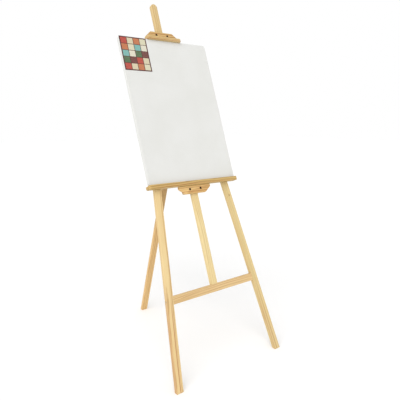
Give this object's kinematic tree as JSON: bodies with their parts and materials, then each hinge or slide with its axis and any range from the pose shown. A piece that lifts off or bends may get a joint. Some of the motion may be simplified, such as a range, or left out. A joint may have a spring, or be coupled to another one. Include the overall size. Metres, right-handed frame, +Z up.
{
  "type": "artist easel",
  "caption": "Free-standing wooden easel: leaning frame with a central mast, hinged rear leg, sliding ledge and top clamp with wing nuts, holding a stretched canvas with a colour card.",
  "frame": {"origin": "middle of the footprint on the floor", "axes": "+Z up, +X to the right of someone facing the canvas, +Y to the back, towards the rear leg"},
  "size_m": [0.6246, 0.8098, 1.6838],
  "materials": {
    "pine_batten": "planed, clear",
    "pine_holder": "planed, clear",
    "primed_canvas": "white primed cotton, matt",
    "printed_card": "printed card",
    "dark_steel": "dark bronzed",
    "zinc_steel": "zinc plated"
  },
  "bodies": {
    "frame": {"left_front_leg": "pine_batten", "right_front_leg": "pine_batten", "lower_crossbar": "pine_batten", "mast": "pine_batten", "upper_crosspiece": "pine_batten", "hinge_leaf_fixed": "zinc_steel", "hinge_pin": "zinc_steel", "hinge_screws_fixed": "zinc_steel", "crossbar_screws": "zinc_steel", "mast_foot_screw": "zinc_steel", "crosspiece_screws": "zinc_steel"},
    "rear_leg": {"rear_leg": "pine_batten", "hinge_leaf_moving": "zinc_steel", "hinge_screws_moving": "zinc_steel"},
    "ledge": {"ledge_rail": "pine_holder", "ledge_front_plate": "pine_holder", "ledge_rear_plate": "pine_holder", "ledge_bolts": "dark_steel", "ledge_washers": "zinc_steel", "ledge_screws": "zinc_steel"},
    "clamp": {"clamp_lip": "pine_holder", "clamp_front_plate": "pine_holder", "clamp_rear_plate": "pine_holder", "clamp_bolts": "dark_steel", "clamp_washers": "zinc_steel", "clamp_screws": "zinc_steel"},
    "canvas": {"canvas_sheet": "primed_canvas", "stretcher_bottom": "pine_batten", "stretcher_top": "pine_batten", "stretcher_left": "pine_batten", "stretcher_right": "pine_batten", "canvas_staples": "zinc_steel", "colour_card": "printed_card"},
    "ledge_nut_left": {"ledge_wing_nut_left": "zinc_steel"},
    "ledge_nut_right": {"ledge_wing_nut_right": "zinc_steel"},
    "clamp_nut_left": {"clamp_wing_nut_left": "zinc_steel"},
    "clamp_nut_right": {"clamp_wing_nut_right": "zinc_steel"}
  },
  "joints": [
    {"name": "rear_leg_fold", "type": "hinge", "parent": "frame", "child": "rear_leg", "pos_m": [0, 0.03901, 1.0801], "axis": [-1, 0, 0], "range_deg": [0, 38]},
    {"name": "ledge_slide", "type": "slide", "parent": "frame", "child": "ledge", "axis": [0, 0.3486, 0.9373], "range_m": [-0.4, 0]},
    {"name": "clamp_slide", "type": "slide", "parent": "frame", "child": "clamp", "axis": [0, 0.3486, 0.9373], "range_m": [0, 0.13]},
    {"name": "canvas_shift", "type": "slide", "parent": "ledge", "child": "canvas", "axis": [1, 0, 0], "range_m": [-0.12, 0.12]},
    {"name": "ledge_nut_left_turn", "type": "hinge", "parent": "ledge", "child": "ledge_nut_left", "pos_m": [-0.0315, -0.07989, 0.78333], "axis": [0, 0.9373, -0.3486], "continuous": true},
    {"name": "ledge_nut_right_turn", "type": "hinge", "parent": "ledge", "child": "ledge_nut_right", "pos_m": [0.0315, -0.07989, 0.78333], "axis": [0, 0.9373, -0.3486], "continuous": true},
    {"name": "clamp_nut_left_turn", "type": "hinge", "parent": "clamp", "child": "clamp_nut_left", "pos_m": [-0.0315, 0.19008, 1.50926], "axis": [0, 0.9373, -0.3486], "continuous": true},
    {"name": "clamp_nut_right_turn", "type": "hinge", "parent": "clamp", "child": "clamp_nut_right", "pos_m": [0.0315, 0.19008, 1.50926], "axis": [0, 0.9373, -0.3486], "continuous": true}
  ]
}
